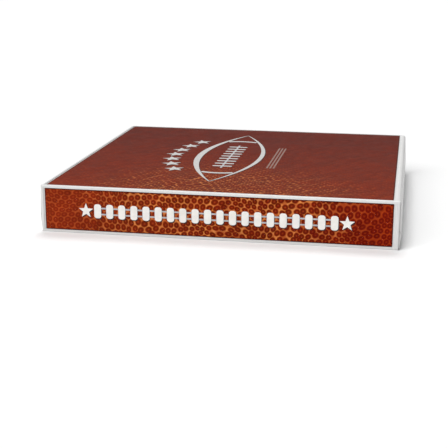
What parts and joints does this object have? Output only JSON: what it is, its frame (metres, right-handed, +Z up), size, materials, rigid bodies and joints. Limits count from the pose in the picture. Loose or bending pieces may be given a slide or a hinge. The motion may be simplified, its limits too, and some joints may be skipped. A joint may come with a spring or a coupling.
{
  "type": "collectible card display case",
  "caption": "Flat white moulded ring case for football cards, with hinged spine and lid, snap latches, split rings, and ball-leather sheets under clear film on each face.",
  "frame": {"origin": "centre of the footprint, on the surface the case lies on", "axes": "+X along the spine, +Y from the spine towards the side that opens, +Z up through the closed case"},
  "size_m": [0.299, 0.2937, 0.04],
  "materials": {
    "case_plastic": "white moulded polypropylene with a fine satin grain",
    "latch_plastic": "white moulded polypropylene, smoother and slightly shinier than the case",
    "ring_plastic": "white smooth moulded plastic",
    "pin_plastic": "pale grey smooth plastic",
    "printed_sheet": "printed sheet of pebbled football leather in red-brown, with dark pebbles and orange valleys",
    "clear_film": "clear smooth film with a soft sheen"
  },
  "bodies": {
    "base": {"base_tray": "case_plastic", "base_living_hinge": "case_plastic", "back_print": "printed_sheet", "back_film": "clear_film", "ring_rail": "ring_plastic", "rail_cap_1": "ring_plastic", "rail_cap_2": "ring_plastic", "rail_cap_3": "ring_plastic", "rail_cap_4": "ring_plastic", "ring_post_1": "ring_plastic", "ring_post_2": "ring_plastic", "ring_post_3": "ring_plastic", "ring_pin_1": "pin_plastic", "ring_pin_2": "pin_plastic", "ring_pin_3": "pin_plastic"},
    "spine": {"spine_panel": "case_plastic", "spine_print": "printed_sheet", "spine_film": "clear_film", "lid_living_hinge": "case_plastic"},
    "lid": {"lid_tray": "case_plastic", "cover_print": "printed_sheet", "cover_film": "clear_film"},
    "latch_left": {"latch_left": "latch_plastic"},
    "latch_right": {"latch_right": "latch_plastic"},
    "ring_arm_1": {"ring_arm_1": "ring_plastic"},
    "ring_arm_2": {"ring_arm_2": "ring_plastic"},
    "ring_arm_3": {"ring_arm_3": "ring_plastic"}
  },
  "joints": [
    {"name": "spine_hinge", "type": "hinge", "parent": "base", "child": "spine", "pos_m": [0, -0.1459, 0.001], "axis": [1, 0, 0], "range_deg": [0, 90]},
    {"name": "lid_hinge", "type": "hinge", "parent": "spine", "child": "lid", "pos_m": [0, -0.1459, 0.039], "axis": [1, 0, 0], "range_deg": [0, 90]},
    {"name": "latch_left_hinge", "type": "hinge", "parent": "lid", "child": "latch_left", "pos_m": [-0.1218, 0.14285, 0.0189], "axis": [1, 0, 0], "range_deg": [0, 100]},
    {"name": "latch_right_hinge", "type": "hinge", "parent": "lid", "child": "latch_right", "pos_m": [0.1218, 0.14285, 0.0189], "axis": [1, 0, 0], "range_deg": [0, 100]},
    {"name": "ring_1_opens", "type": "hinge", "parent": "base", "child": "ring_arm_1", "pos_m": [-0.108, -0.1239, 0.0074], "axis": [1, 0, 0], "range_deg": [0, 30]},
    {"name": "ring_2_opens", "type": "hinge", "parent": "base", "child": "ring_arm_2", "pos_m": [0, -0.1239, 0.0074], "axis": [1, 0, 0], "range_deg": [0, 30]},
    {"name": "ring_3_opens", "type": "hinge", "parent": "base", "child": "ring_arm_3", "pos_m": [0.108, -0.1239, 0.0074], "axis": [1, 0, 0], "range_deg": [0, 30]}
  ]
}
